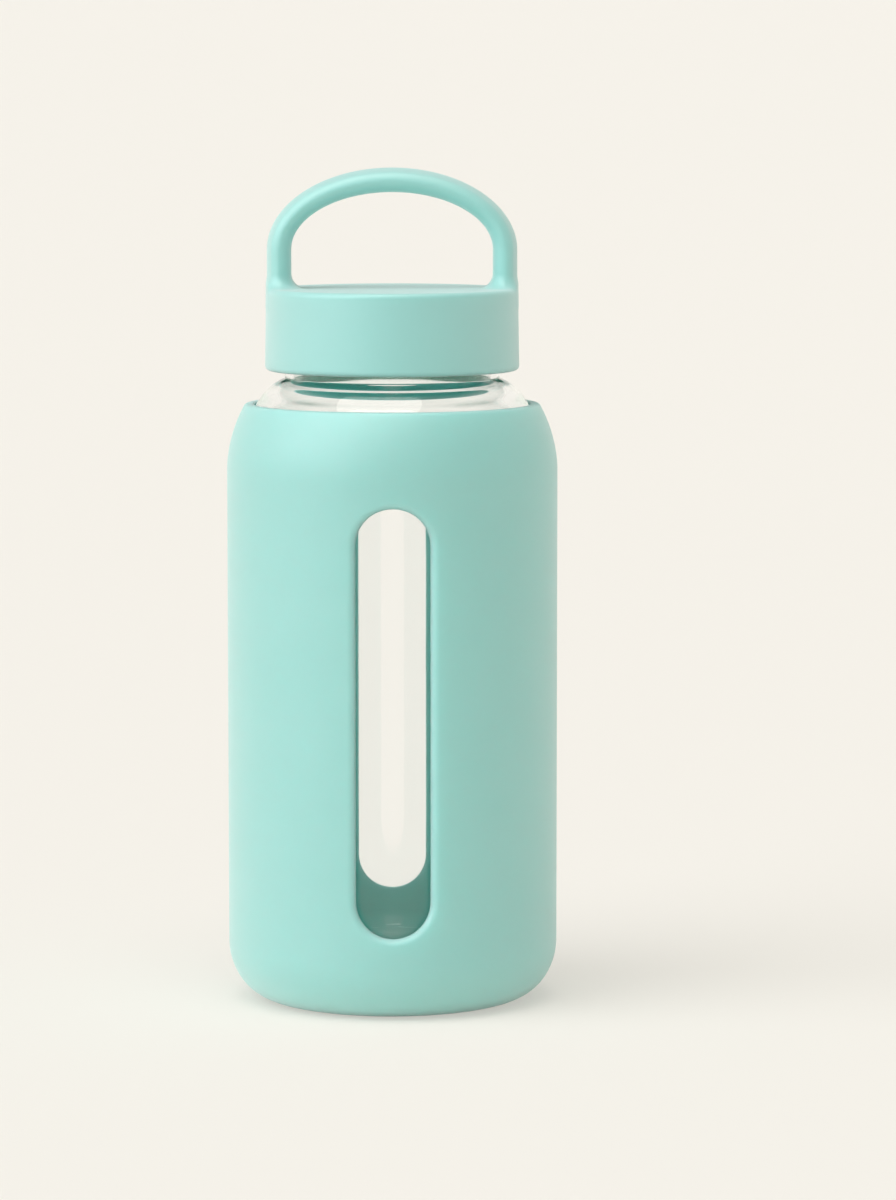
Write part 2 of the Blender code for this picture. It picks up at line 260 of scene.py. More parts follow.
def grained(tree, grain_mm, height_mm):
    """A bump of fine random grain, a given size across and a given height."""
    place = add_node(tree, "ShaderNodeTexCoord")
    grain = add_node(tree, "ShaderNodeTexNoise", {
        "Vector": place.outputs["Object"], "Scale": 1 / (grain_mm * MM), "Detail": 1.0})
    return add_node(tree, "ShaderNodeBump", {
        "Height": grain.outputs["Fac"], "Distance": height_mm * MM, "Strength": 1.0})


def varied(tree, low, high, patch_mm):
    """A roughness that wanders between two values in patches of a given size."""
    place = add_node(tree, "ShaderNodeTexCoord")
    patches = add_node(tree, "ShaderNodeTexNoise", {
        "Vector": place.outputs["Object"], "Scale": 1 / (patch_mm * MM), "Detail": 3.0})
    return add_node(tree, "ShaderNodeMapRange", {
        "Value": patches.outputs["Fac"], "To Min": low, "To Max": high})


print("patterns:", mottled.__name__, grained.__name__, varied.__name__)

# %% [markdown]
# ## Silicone rubber, moulded
#
# The sleeve is liquid silicone rubber cast against a fine-blasted steel mould. That gives a matte skin
# with a very fine grain, hardly any mirror reflection, and a soft bloom of light at grazing angles.
# Light also enters the rubber and comes out a few millimetres on, which softens the shade on its edges.
# A plain rough shader looks like paint, so sheen is added for the bloom and subsurface scattering for
# the light inside. Silicone's refractive index is about 1.41. The blasted skin is paler on its lit side
# than that gives, so the index is matched to the photograph at 1.75.

# %% Silicone material
# To the eye: no sharp highlight, a pale lit side, and a deeper mint in the shade.
# The real grain is about 0.1 mm. It is drawn at 0.35 mm, because a finer one would not show.
silicone, tree = new_material("liquid silicone rubber, moulded matte")
tone = mottled(tree, "#8ad3cc", "#84cec7", patch_mm=24.0)
grain = grained(tree, grain_mm=0.35, height_mm=0.012)
rough = varied(tree, 0.50, 0.60, patch_mm=9.0)
shader = add_node(tree, "ShaderNodeBsdfPrincipled", {
    "Base Color": tone.outputs[2], "Roughness": rough.outputs[0], "Normal": grain.outputs[0],
    "IOR": 1.75, "Specular IOR Level": 1.0, "Sheen Weight": 0.5, "Sheen Roughness": 0.6,
    "Subsurface Weight": 1.0, "Subsurface Radius": (0.7, 1.0, 0.95), "Subsurface Scale": 8.0 * MM})
add_node(tree, "ShaderNodeOutputMaterial", {"Surface": shader.outputs[0]})
print("made", silicone.name)

# %% [markdown]
# ## Polypropylene, moulded
#
# The cap is injection-moulded polypropylene from an etched mould. It is harder than the sleeve, so its
# grain is finer, its gloss is a little tighter, and less light travels inside it. The bloom is broader,
# and whitens the loop all along its lit side. Polypropylene's refractive index is 1.49, and it is matched
# at 1.80 for the same reason as the silicone's. The inner cap is the same plastic from a polished mould.
# It keeps the usual 1.49. It is thin and lets a good deal of light through. Its mint is painted paler than
# the shell's: painted light that lifts the shade in the hollow under the cap.

# %% Plastic materials
# To the eye: a satin mint with pale edges. The etched grain is drawn at 0.3 mm, so that it can show.
plastic, tree = new_material("polypropylene, moulded in an etched mould")
tone = mottled(tree, "#70c9c4", "#6bc4bf", patch_mm=20.0)
grain = grained(tree, grain_mm=0.3, height_mm=0.010)
rough = varied(tree, 0.46, 0.56, patch_mm=7.0)
shader = add_node(tree, "ShaderNodeBsdfPrincipled", {
    "Base Color": tone.outputs[2], "Roughness": rough.outputs[0], "Normal": grain.outputs[0],
    "IOR": 1.80, "Specular IOR Level": 1.0, "Sheen Weight": 0.65, "Sheen Roughness": 0.75,
    "Subsurface Weight": 0.3, "Subsurface Radius": (0.7, 1.0, 0.95), "Subsurface Scale": 6.0 * MM})
add_node(tree, "ShaderNodeOutputMaterial", {"Surface": shader.outputs[0]})

# To the eye: smoother than the shell, with a soft glow in its thin wall.
# Its mint is painted paler than the shell's: painted light that lifts the shade in the hollow under the
# cap.
# The bump is no grain but the faint flow of the melt, and is drawn at its own size.
liner_plastic, tree = new_material("polypropylene, moulded in a polished mould")
tone = mottled(tree, "#c0eae2", "#b6e3da", patch_mm=12.0)
grain = grained(tree, grain_mm=0.8, height_mm=0.006)
rough = varied(tree, 0.30, 0.40, patch_mm=5.0)
shader = add_node(tree, "ShaderNodeBsdfPrincipled", {
    "Base Color": tone.outputs[2], "Roughness": rough.outputs[0], "Normal": grain.outputs[0], "IOR": 1.49,
    "Subsurface Weight": 1.0, "Subsurface Radius": (0.7, 1.0, 0.95), "Subsurface Scale": 6.0 * MM})
add_node(tree, "ShaderNodeOutputMaterial", {"Surface": shader.outputs[0]})
print("made", plastic.name, "|", liner_plastic.name)

# %% [markdown]
# ## Silicone rubber, die-cut
#
# The gasket is cut from a rolled sheet of unpigmented silicone. The rolls leave a dull, slightly uneven
# face. It is a small hidden ring, so a plain rough shader with drift and grain is enough.

# %% Gasket material
# To the eye: a milky grey-white, dull, with no highlight. The print of the rolls is about 0.4 mm wide.
gasket, tree = new_material("silicone rubber, die-cut and milky")
tone = mottled(tree, "#e6eae6", "#dde2de", patch_mm=6.0)
grain = grained(tree, grain_mm=0.4, height_mm=0.015)
rough = varied(tree, 0.45, 0.60, patch_mm=4.0)
shader = add_node(tree, "ShaderNodeBsdfPrincipled", {
    "Base Color": tone.outputs[2], "Roughness": rough.outputs[0], "Normal": grain.outputs[0], "IOR": 1.41})
add_node(tree, "ShaderNodeOutputMaterial", {"Surface": shader.outputs[0]})
print("made", gasket.name)

# %% [markdown]
# ## Soda-lime glass, blown
#
# A blown bottle is smooth but never flat: its inner face was shaped by air, so it wavers over a couple
# of centimetres, and straight lines seen through it bend a little. Soda-lime glass has an index of 1.52
# and holds a trace of iron, which shows as green where light runs a long way inside it, at the base and
# the rim. Light from the lamps is let straight through, so that what stands inside the glass is lit.
#
# Light that enters the wall at a flat angle is caught there, and runs down it as in a light pipe, from
# side to side a hundred times. A path that is cut short comes back black, and a black patch would show
# under the cap. So the paths are allowed to be long.

# %% Glass material
# To the eye: clear, with pale and mint bands where it is curved and faint green at its thick edges.
WAVER_MM = 22.0
WAVER_HEIGHT_MM = 0.06
LONG_PATHS = 120
CLEAR_FACES = 16

glass, tree = new_material("soda-lime glass, blown clear")
place = add_node(tree, "ShaderNodeTexCoord")
waver = add_node(tree, "ShaderNodeTexNoise", {
    "Vector": place.outputs["Object"], "Scale": 1 / (WAVER_MM * MM), "Detail": 1.0})
ripple = add_node(tree, "ShaderNodeBump", {
    "Height": waver.outputs["Fac"], "Distance": WAVER_HEIGHT_MM * MM, "Strength": 1.0})
shader = add_node(tree, "ShaderNodeBsdfPrincipled", {
    "Base Color": (1.0, 1.0, 1.0, 1.0), "Roughness": 0.0, "IOR": 1.52, "Transmission Weight": 1.0,
    "Normal": ripple.outputs[0]})
clear = add_node(tree, "ShaderNodeBsdfTransparent", {"Color": (0.95, 0.96, 0.955, 1.0)})
ray = add_node(tree, "ShaderNodeLightPath")
mix = add_node(tree, "ShaderNodeMixShader", {
    0: ray.outputs["Is Shadow Ray"], 1: shader.outputs[0], 2: clear.outputs[0]})
iron = add_node(tree, "ShaderNodeVolumeAbsorption", {"Color": linear("#c9efe0"), "Density": 6.0})
add_node(tree, "ShaderNodeOutputMaterial", {"Surface": mix.outputs[0], "Volume": iron.outputs[0]})
paths = bpy.context.scene.cycles
paths.max_bounces = LONG_PATHS
paths.glossy_bounces = LONG_PATHS
paths.transmission_bounces = LONG_PATHS // 2
paths.transparent_max_bounces = CLEAR_FACES
print("made", glass.name, "with up to", paths.max_bounces, "bounces")

# %% [markdown]
# ## Sizes
#
# The heights and the outer radii are read from the solids, so that the scene follows them. What can't be
# read from a box, such as walls and curves, is written here once, in millimetres, and means the same as
# in the working model.

# %% Shared sizes, in millimetres
FIT = 0.3
SLEEVE_WALL = 2.3
SLEEVE_BASE = 2.6
GLASS_WALL = 2.7
GLASS_BASE = 6.0
NECK_RADIUS = 29.2
NECK_HEIGHT = 17.5
HEEL_WIDTH = 13.5
HEEL_HEIGHT = 16.0
SHOULDER_HEIGHT = 24.8

sleeve_high = box_mm("silicone_sleeve")[1]
glass_low, glass_high = box_mm("glass_bottle")
SLEEVE_RADIUS = sleeve_high[0]
SLEEVE_TOP = sleeve_high[2]
GLASS_RADIUS = glass_high[0]
GLASS_BOTTOM = glass_low[2]
GLASS_RIM = glass_high[2]
NECK_FOOT = GLASS_RIM - NECK_HEIGHT
BODY_TOP = NECK_FOOT - SHOULDER_HEIGHT
HEEL_CENTRE = SLEEVE_RADIUS - HEEL_WIDTH
print("wall to", round(BODY_TOP, 1), "neck foot", round(NECK_FOOT, 1), "rim", round(GLASS_RIM, 1), "mm")

# %% [markdown]
# ## Heel and shoulder
#
# The bottle, the sleeve and the cap's inner pieces are round, so each starts as an outline of radius and
# height. Bottle and sleeve share two curves. The heel is a quarter ellipse, and the shoulder is one Bezier
# curve from the straight wall to the neck. The sleeve hugs the glass, so its faces are the same curves set
# out by the fit and by the rubber's thickness. Taking both from one function keeps them parallel.

# %% Curves of the heel and the shoulder
LOWER_PULL = 10.5
UPPER_PULL = 6.8
TOP_SLOPE = math.radians(13.5)
END_GAP = 0.15


def heel(inset, floor, steps=20):
    """The base corner, from the floor out to the wall, set in from the sleeve's outer face."""
    angle = np.linspace(0, math.pi / 2, steps + 1)
    return np.stack([
        HEEL_CENTRE + (HEEL_WIDTH - inset) * np.sin(angle),
        HEEL_HEIGHT - (HEEL_HEIGHT - floor) * np.cos(angle)], 1)


def shoulder(offset, top=None, steps=40):
    """The shoulder from the wall to the neck, set out along its normal and stopped at a height."""
    low = np.array([GLASS_RADIUS, BODY_TOP])
    high = np.array([NECK_RADIUS, NECK_FOOT])
    knots = [low, low + [0, LOWER_PULL],
             high + UPPER_PULL * np.array([math.cos(TOP_SLOPE), -math.sin(TOP_SLOPE)]), high]
    t = np.linspace(0, 1, steps + 1)[:, None]
    weights = [(1 - t) ** 3, 3 * (1 - t) ** 2 * t, 3 * (1 - t) * t ** 2, t ** 3]
    slopes = [(1 - t) ** 2, 2 * (1 - t) * t, t ** 2]
    point = sum(weight * knot for weight, knot in zip(weights, knots))
    along = sum(slope * (b - a) for slope, a, b in zip(slopes, knots, knots[1:]))
    along /= np.linalg.norm(along, axis=1)[:, None]
    point = point + offset * np.stack([along[:, 1], -along[:, 0]], 1)
    if top is not None:
        end = np.array([[np.interp(top, point[:, 1], point[:, 0]), top]])
        point = np.vstack([point[point[:, 1] < top - END_GAP], end])
    return point


print("shoulder falls", SHOULDER_HEIGHT, "mm from radius", NECK_RADIUS, "to", round(GLASS_RADIUS, 1))

# %% [markdown]
# ## Rounded corners
#
# The rest of each outline is corners, and every real corner is rounded. Blender's bevel could round them
# on the finished mesh, but then the outlines would be harder to measure. So a corner is written as a
# radius, a height and a rounding, and a function puts the arcs in before anything is turned.


# %% Arcs in an outline
def rounded(corners, steps=6):
    """An open outline from (radius, height, rounding) corners, with an arc at each rounded one."""
    points = []
    for index, (radius, height, rounding) in enumerate(corners):
        corner = np.array([radius, height])
        if rounding == 0:
            points.append(corner)
            continue
        before = np.array(corners[index - 1][:2]) - corner
        after = np.array(corners[(index + 1) % len(corners)][:2]) - corner
        before /= np.linalg.norm(before)
        after /= np.linalg.norm(after)
        half = math.acos(np.clip(before @ after, -1, 1)) / 2
        middle = (before + after) / np.linalg.norm(before + after)
        centre = corner + middle * rounding / math.sin(half)
        first = corner + before * rounding / math.tan(half) - centre
        last = corner + after * rounding / math.tan(half) - centre
        start = math.atan2(first[1], first[0])
        sweep_angle = (math.atan2(last[1], last[0]) - start + math.pi) % math.tau - math.pi
        for step in range(steps + 1):
            angle = start + sweep_angle * step / steps
            points.append(centre + rounding * np.array([math.cos(angle), math.sin(angle)]))
    return np.array(points)


def sharp(points):
    """The same points as corners with no rounding."""
    return [(radius, height, 0) for radius, height in points]


right_angle = rounded([(0.0, 0.0, 0), (9.0, 0.0, 1.0), (9.0, 9.0, 0)])
print("a right angle becomes an arc of", len(right_angle) - 2, "points")

# %% [markdown]
# ## From points to pieces
#
# Every piece ends the same way: points in millimetres and faces become a mesh, its normals are turned
# outwards, it gets its material, it takes the place of its solid, and it rides on the body that carries
# it. A turned piece is a grid of points, one row for each point of its outline. Blender's Screw modifier
# would do that too, but a plain grid can be swelled afterwards to raise a screw thread.


# %% Helper that makes a piece
def make_piece(name, points, faces, material, body, node):
    """A smooth mesh in place of a solid, riding on the body that carries it."""
    shape = bmesh.new()
    corners = [shape.verts.new(Vector(point) * MM) for point in points]
    for face in faces:
        shape.faces.new([corners[index] for index in face])
    bmesh.ops.recalc_face_normals(shape, faces=shape.faces)
    mesh = bpy.data.meshes.new(name)
    shape.to_mesh(mesh)
    shape.free()
    mesh.materials.append(material)
    mesh.shade_smooth()
    piece = bpy.data.objects.new(name, mesh)
    bpy.context.scene.collection.objects.link(piece)
    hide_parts(node)
    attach(piece, body)
    print("made", name, "with", len(mesh.polygons), "faces")
    return piece


print("pieces are drawn in millimetres and made in metres, times", MM)

# %% Helper that turns an outline
COLUMNS = 192
ON_AXIS = 1e-6


def turned(outline, swell=None, closed=False):
    """Points and faces of an outline turned about the axis. Ends on the axis become single points."""
    angle = np.arange(COLUMNS) * math.tau / COLUMNS
    points = []
    rows = []
    for index, (radius, height) in enumerate(outline):
        if radius < ON_AXIS:
            rows.append([len(points)] * COLUMNS)
            points.append((0.0, 0.0, height))
            continue
        reach = radius + (swell(index, height, angle) if swell else np.zeros(COLUMNS))
        rows.append(list(range(len(points), len(points) + COLUMNS)))
        points += zip(reach * np.cos(angle), reach * np.sin(angle), [height] * COLUMNS)
    faces = []
    pairs = list(zip(rows, rows[1:])) + ([(rows[-1], rows[0])] if closed else [])
    for lower, upper in pairs:
        for column in range(COLUMNS):
            after = (column + 1) % COLUMNS
            ring = [lower[column], lower[after], upper[after], upper[column]]
            faces.append(list(dict.fromkeys(ring)))
    return points, faces


print("turned pieces have", COLUMNS, "columns")

# %% [markdown]
# ## Screw thread
#
# A glass thread is a soft rounded ridge that winds once and a quarter round the neck and fades out at
# both ends, because molten glass will not fill a sharp groove. The ridge is right-handed: it climbs as
# it goes anticlockwise seen from above. It could be a swept tube joined on, but swelling the wall where
# the helix passes leaves no seam. The inner cap has the same ridge turned inwards, half a lead lower.

# %% The ridge as a swelling of a wall
LEAD = 5.0
THREAD_DEPTH = 1.2
THREAD_CREST = 1.2
THREAD_ROOT = 2.8
THREAD_DROP = 9.5
THREAD_START = GLASS_RIM - THREAD_DROP
THREAD_TURNS = 1.26
THREAD_FADE = 45.0 / 360.0


def eased(share):
    """A share from 0 to 1 that starts and ends gently."""
    return share ** 2 * (3 - 2 * share)


def ridge(height, angle, start):
    """How far the ridge stands out, from 0 to its depth, at a height and at angles round the axis."""
    best = np.zeros_like(angle)
    for turn in range(math.ceil(THREAD_TURNS) + 1):
        wound = angle / math.tau + turn
        away = np.abs(height - start - LEAD * wound)
        flank = np.clip((THREAD_ROOT / 2 - away) / ((THREAD_ROOT - THREAD_CREST) / 2), 0, 1)
        fade = np.clip(np.minimum(wound, THREAD_TURNS - wound) / THREAD_FADE, 0, 1)
        best = np.maximum(best, eased(flank) * eased(fade))
    return THREAD_DEPTH * best


print("thread climbs", round(LEAD * THREAD_TURNS, 1), "mm")

# %% [markdown]
# ## Thickness of the glass
#
# The mould shapes only the outside of a blown bottle. Inside, air leaves the wall a little uneven. Light
# crosses the shoulder at a very flat angle, so a few tenths of a millimetre there decide what is seen
# through it. The simplest wall has one thickness. Here it swells by 0.6 mm halfway up, and is rounded
# where it turns into the neck, because that bends the white ring and the two mint bands into view.

# %% The inner face of the shoulder
NECK_WALL = 2.25
NECK_INNER_ROUND = 2.4
NECK_THINNING = 0.07
BULGE = 0.60
BULGE_RADIUS = 34.0
BULGE_WIDTH = 2.9
SHOULDER_STEPS = 120
# The shoulder's points stop this far from the bore, so that the arc of the inner corner has room.
INNER_ROOM = 2.46

neck_bore = NECK_RADIUS - NECK_WALL
outer_shoulder = shoulder(0, steps=SHOULDER_STEPS)
inward = shoulder(-1, steps=SHOULDER_STEPS) - outer_shoulder
reach = outer_shoulder[:, 0]
wall = GLASS_WALL - NECK_THINNING * eased((GLASS_RADIUS - reach) / (GLASS_RADIUS - NECK_RADIUS))
wall += BULGE * np.exp(-((reach - BULGE_RADIUS) / BULGE_WIDTH) ** 2)
inner_shoulder = outer_shoulder + inward * wall[:, None]
inner_shoulder = inner_shoulder[inner_shoulder[:, 0] > neck_bore + INNER_ROOM]
end, before = inner_shoulder[-1], inner_shoulder[-2]
neck_inside = end[1] + (end[0] - neck_bore) * (end[1] - before[1]) / (before[0] - end[0])
print("shoulder wall", round(wall.min(), 2), "to", round(wall.max(), 2), "mm")
print("inner corner of the neck at", round(neck_inside, 2), "mm")

# %% [markdown]
# ## Glass bottle
#
# The outline starts inside at the middle of the base, climbs the inner wall, goes over the rim and comes
# down outside to a shallow dome under the base. The bore has extra points beside its two arcs, because a
# smooth mesh would otherwise carry their shading on along the straight wall, and bend the light with it.
# The neck has a row of points every third of a millimetre, so that the thread has something to swell.

# %% Outline of the bottle
NECK_ROUND = 0.36
# The outer shoulder's points stop this far from the neck, for the same reason as inside.
OUTER_ROOM = 0.55
LIP_ROUND = 0.9
PUNT_RISE = 1.2
PUNT_INSET = 5.0
PUNT_STEPS = 8

glass_floor = GLASS_BOTTOM + GLASS_BASE
inside = [(0, glass_floor, 0)] + sharp(heel(SLEEVE_WALL + FIT + GLASS_WALL, glass_floor))
inside += sharp(inner_shoulder) + [(neck_bore, neck_inside, NECK_INNER_ROUND)]
inside += [(neck_bore, neck_inside + NECK_INNER_ROUND, 0), (neck_bore, GLASS_RIM - 2 * LIP_ROUND, 0)]
inside += [(neck_bore, GLASS_RIM, LIP_ROUND), (NECK_RADIUS, GLASS_RIM, LIP_ROUND)]
outside = [(NECK_RADIUS, NECK_FOOT, NECK_ROUND)]
outside += sharp(outer_shoulder[reach > NECK_RADIUS + OUTER_ROOM][::-1])
outside += sharp(heel(SLEEVE_WALL + FIT, GLASS_BOTTOM)[::-1])
for share in np.linspace(1, 0, PUNT_STEPS + 1):
    outside.append(((HEEL_CENTRE - PUNT_INSET) * share, GLASS_BOTTOM + PUNT_RISE * (1 - share ** 2), 0))
whole = rounded(inside + outside, steps=20)
print("the bottle's outline has", len(whole), "points before the neck's rows")

# %% Make the bottle
NECK_ROWS = 48
# Lengths that differ by less than this count as equal.
NEAR = 0.01

on_lip = (whole[:, 0] > NECK_RADIUS - NEAR) & (whole[:, 1] > GLASS_RIM - 2 * LIP_ROUND)
top_row = int(np.nonzero(on_lip)[0][-1])
heights = np.linspace(whole[top_row, 1], whole[top_row + 1, 1], NECK_ROWS + 2)[1:-1]
neck = np.stack([np.full(NECK_ROWS, NECK_RADIUS), heights], 1)
bottle_outline = np.vstack([whole[:top_row + 1], neck, whole[top_row + 1:]])


def neck_swell(index, height, angle):
    """The thread stands out of the rows between the rim and the neck's foot."""
    on_neck = top_row < index <= top_row + NECK_ROWS
    return ridge(height, angle, THREAD_START) if on_neck else np.zeros_like(angle)


points, faces = turned(bottle_outline, swell=neck_swell)
make_piece("blown_glass_bottle", points, faces, glass, "bottle", "glass_bottle")

# %% [markdown]
# ## Silicone sleeve
#
# The sleeve is one turned skin with two windows. Cutting the windows with a Boolean would leave slivers
# along their soft edges. Instead the skin is built with a rectangle left open at each window, on both of
# its faces. Rings of points then run in from the rectangle to the window's outline, over its rounded
# edge, through the wall, and out again to the rectangle on the inner face. So a window holds only quads.

# %% Rows of the skin at the windows
WINDOW_HALF = 19.9 / 2
WINDOW_LOW = 22.9
WINDOW_DROP = 7.3
WINDOW_HIGH = BODY_TOP - WINDOW_DROP
PATCH_MARGIN = 5.0
PATCH_END_ROWS = 6
PATCH_SIDE_ROWS = 40

end_low = WINDOW_LOW + WINDOW_HALF
end_high = WINDOW_HIGH - WINDOW_HALF
patch_heights = np.concatenate([
    np.linspace(WINDOW_LOW - PATCH_MARGIN, end_low, PATCH_END_ROWS + 1)[:-1],
    np.linspace(end_low, end_high, PATCH_SIDE_ROWS + 1),
    np.linspace(end_high, WINDOW_HIGH + PATCH_MARGIN, PATCH_END_ROWS + 1)[1:]])
print("each window is", round(WINDOW_HIGH - WINDOW_LOW, 1), "mm tall, and has", len(patch_heights), "rows")

# %% Outline of the skin
FOOT_RING = 6.5
FOOT_RECESS = 0.8
FOOT_ROUND = 0.5
RIM_OUTER_ROUND = 1.2
RIM_INNER_ROUND = 0.4

sleeve_inner = SLEEVE_RADIUS - SLEEVE_WALL
foot = HEEL_CENTRE - FOOT_RING
skin = [(0, FOOT_RECESS, 0), (foot - FOOT_RECESS, FOOT_RECESS, FOOT_ROUND), (foot, 0, FOOT_ROUND)]
skin += sharp(heel(0, 0))
outer_first = len(rounded(skin))
skin += [(SLEEVE_RADIUS, height, 0) for height in patch_heights]
outer_last = len(rounded(skin)) - 1
outer_curve = shoulder(FIT + SLEEVE_WALL, SLEEVE_TOP)
inner_curve = shoulder(FIT, SLEEVE_TOP)
skin += sharp(outer_curve[:-2]) + [(*outer_curve[-1], RIM_OUTER_ROUND)]
skin += [(*inner_curve[-1], RIM_INNER_ROUND)] + sharp(inner_curve[:-2][::-1])
inner_first = len(rounded(skin + [(sleeve_inner, 0, 0)])) - 1
skin += [(sleeve_inner, height, 0) for height in patch_heights[::-1]]
inner_last = inner_first + len(patch_heights) - 1
skin += sharp(heel(SLEEVE_WALL, SLEEVE_BASE)[::-1]) + [(0, SLEEVE_BASE, 0)]
sleeve_outline = rounded(skin)
print("skin has", len(sleeve_outline), "rows, with windows from rows", outer_first, "and", inner_first)

# %% [markdown]
# ### Partners on the window
#
# Each point on the rectangle needs a partner on the window's outline. Along the straight sides the
# partner has the same height. Round each end, the partners are spread evenly over the half circle.

# %% Pair the rectangle with the window
PATCH_COLUMNS = 10


def rectangle(rows):
    """The (height, column) places round a patch: up its right side, across, down its left, and back."""
    side = PATCH_COLUMNS
    places = [(row, side) for row in rows]
    places += [(rows[-1], column) for column in range(side - 1, -side, -1)]
    places += [(row, -side) for row in rows[::-1]]
    places += [(rows[0], column) for column in range(-side + 1, side)]
    return places


def window_outline(heights, across):
    """For each place on the rectangle, a point of the window's outline and its outward direction."""
    base = np.zeros((len(heights), 2))
    out = np.zeros((len(heights), 2))
    straight = (np.abs(across) == PATCH_COLUMNS) & (heights > end_low - NEAR) & (heights < end_high + NEAR)
    base[straight] = np.stack([np.sign(across) * WINDOW_HALF, heights], 1)[straight]
    out[straight] = np.stack([np.sign(across), 0 * across], 1)[straight]
    half_way = len(heights) // 2
    for centre, upper in ((end_high, True), (end_low, False)):
        end = ~straight & ((heights > centre) if upper else (heights < centre))
        order = np.nonzero(end)[0]
        if not upper:
            order = np.concatenate([order[order > half_way], order[order < half_way]])
        share = np.arange(1, len(order) + 1) / (len(order) + 1)
        turn = math.pi * share + (0 if upper else math.pi)
        out[order] = np.stack([np.cos(turn), np.sin(turn)], 1)
        base[order] = WINDOW_HALF * out[order] + [0, centre]
    return base, out


places = rectangle(list(patch_heights))
place_heights = np.array([height for height, _ in places])
place_columns = np.array([column for _, column in places])
base, out = window_outline(place_heights, place_columns)
print("points round a window:", len(places))

# %% [markdown]
# ### The rings of a window
#
# A ring is the window's outline at one step of the way from the outer rectangle to the inner one. The
# first rings close in on the window across the outer face. The next ones turn over the soft outer edge,
# go through the wall and turn over the small inner edge. The last ones open out again. The steps are
# closer together towards the edges, where the surface curves most.

# %% Work out the rings
WINDOW_ROUND = 1.8
WINDOW_INNER_ROUND = 0.35
CLOSING_IN = (0.3, 0.55, 0.75, 0.9, 1.0)
OPENING_OUT = (0.85, 0.6, 0.3)
OUTER_TURN = np.radians([75, 60, 45, 30, 15, 0])
INNER_TURN = np.radians([0, 30, 60, 90])

column_step = math.tau / COLUMNS
edge = np.stack([place_columns * column_step * sleeve_inner, place_heights], 1)
rings = [(edge + (base + WINDOW_ROUND * out - edge) * share, SLEEVE_RADIUS) for share in CLOSING_IN]
for turn in OUTER_TURN:
    rings.append((base + WINDOW_ROUND * (1 - math.cos(turn)) * out,
                  SLEEVE_RADIUS - WINDOW_ROUND * (1 - math.sin(turn))))
for turn in INNER_TURN:
    rings.append((base + WINDOW_INNER_ROUND * (1 - math.cos(turn)) * out,
                  sleeve_inner + WINDOW_INNER_ROUND * (1 - math.sin(turn))))
rings += [(edge + (base + WINDOW_INNER_ROUND * out - edge) * share, sleeve_inner) for share in OPENING_OUT]
print("rings in a window:", len(rings))

# %% [markdown]
# ### The skin and its windows
#
# The skin's first column is at the front, so that the front window lies in its middle and the back window
# half way round. The rings of each window are then joined to the rows of the skin at both rectangles.


# %% The skin with its openings
def open_skin():
    """Points, faces and rows of the skin, with a rectangle left open at each window on both faces."""
    points, faces, rows = [], [], []
    angle = np.arange(COLUMNS) * column_step
    for radius, height in sleeve_outline:
        if radius < ON_AXIS:
            rows.append([len(points)] * COLUMNS)
            points.append((0.0, 0.0, height))
            continue
        rows.append(list(range(len(points), len(points) + COLUMNS)))
        points += zip(radius * np.sin(angle), -radius * np.cos(angle), [height] * COLUMNS)
    for index, (lower, upper) in enumerate(zip(rows, rows[1:])):
        on_patch = outer_first <= index < outer_last or inner_first <= index < inner_last
        for column in range(COLUMNS):
            middle = (column + 0.5) % (COLUMNS / 2)
            if on_patch and min(middle, COLUMNS / 2 - middle) < PATCH_COLUMNS:
                continue
            after = (column + 1) % COLUMNS
            ring = [lower[column], lower[after], upper[after], upper[column]]
            faces.append(list(dict.fromkeys(ring)))
    return points, faces, rows


points, faces, rows = open_skin()
print("open skin has", len(rows), "rows and", len(faces), "faces")


# %% Join the windows and make the sleeve
def add_window(points, faces, rows, centre):
    """Joins the rings of a window about a column to the skin's two rectangles."""
    outer_rows = dict(zip(patch_heights, rows[outer_first:outer_last + 1]))
    inner_rows = dict(zip(patch_heights[::-1], rows[inner_first:inner_last + 1]))
    loops = [[outer_rows[height][(centre + column) % COLUMNS] for height, column in places]]
    for flat, radius in rings:
        angle = centre * column_step + flat[:, 0] / sleeve_inner
        loops.append(list(range(len(points), len(points) + len(places))))
        points += zip(radius * np.sin(angle), -radius * np.cos(angle), flat[:, 1])
    loops.append([inner_rows[height][(centre + column) % COLUMNS] for height, column in places])
    for near, far in zip(loops, loops[1:]):
        for k in range(len(places)):
            after = (k + 1) % len(places)
            faces.append([near[k], near[after], far[after], far[k]])


for centre in (0, COLUMNS // 2):
    add_window(points, faces, rows, centre)
make_piece("moulded_sleeve", points, faces, silicone, "bottle", "silicone_sleeve")

# %% [markdown]
# ## Cap and carry loop
#
# The cap and its loop are one moulding, and the legs of the loop melt into the top with fillets. Joining
# a cup and a bent bar with a Boolean would leave a hard crease there. Instead the moulding is written
# as a distance: a function that says how far a point is from the surface, below zero inside. Distances
# can be joined with a fillet or crossed with a rounded edge, and an arch is a distance too.

# %% Distances that meet, join and arch
cap_low, cap_high = box_mm("cap_shell")
LOOP_ARCH = 22.3
LOOP_SPRING = cap_high[2] - LOOP_ARCH
# The slope is zero in the very middle of an arch, and nothing can be divided by that.
TINY = 1e-9


def round_meet(a, b, radius):
    """Distance to what lies in both shapes, with a rounded edge."""
    edge = np.hypot(np.maximum(a + radius, 0), np.maximum(b + radius, 0))
    return np.minimum(np.maximum(a, b), -radius) + edge


def round_join(a, b, radius):
    """Distance to what lies in either shape, with a fillet in the corner between them."""
    corner = np.hypot(np.maximum(radius - a, 0), np.maximum(radius - b, 0))
    return np.maximum(np.minimum(a, b), radius) - corner


def arch(x, z, half, rise):
    """Distance to an arch: a half ellipse of a half width and a rise, standing on straight legs."""
    up = np.maximum(z - LOOP_SPRING, 0)
    ratio = np.hypot(x / half, up / rise)
    slope = np.hypot(x / half ** 2, up / rise ** 2)
    return np.where(z > LOOP_SPRING, ratio * (ratio - 1) / np.maximum(slope, TINY), np.abs(x) - half)


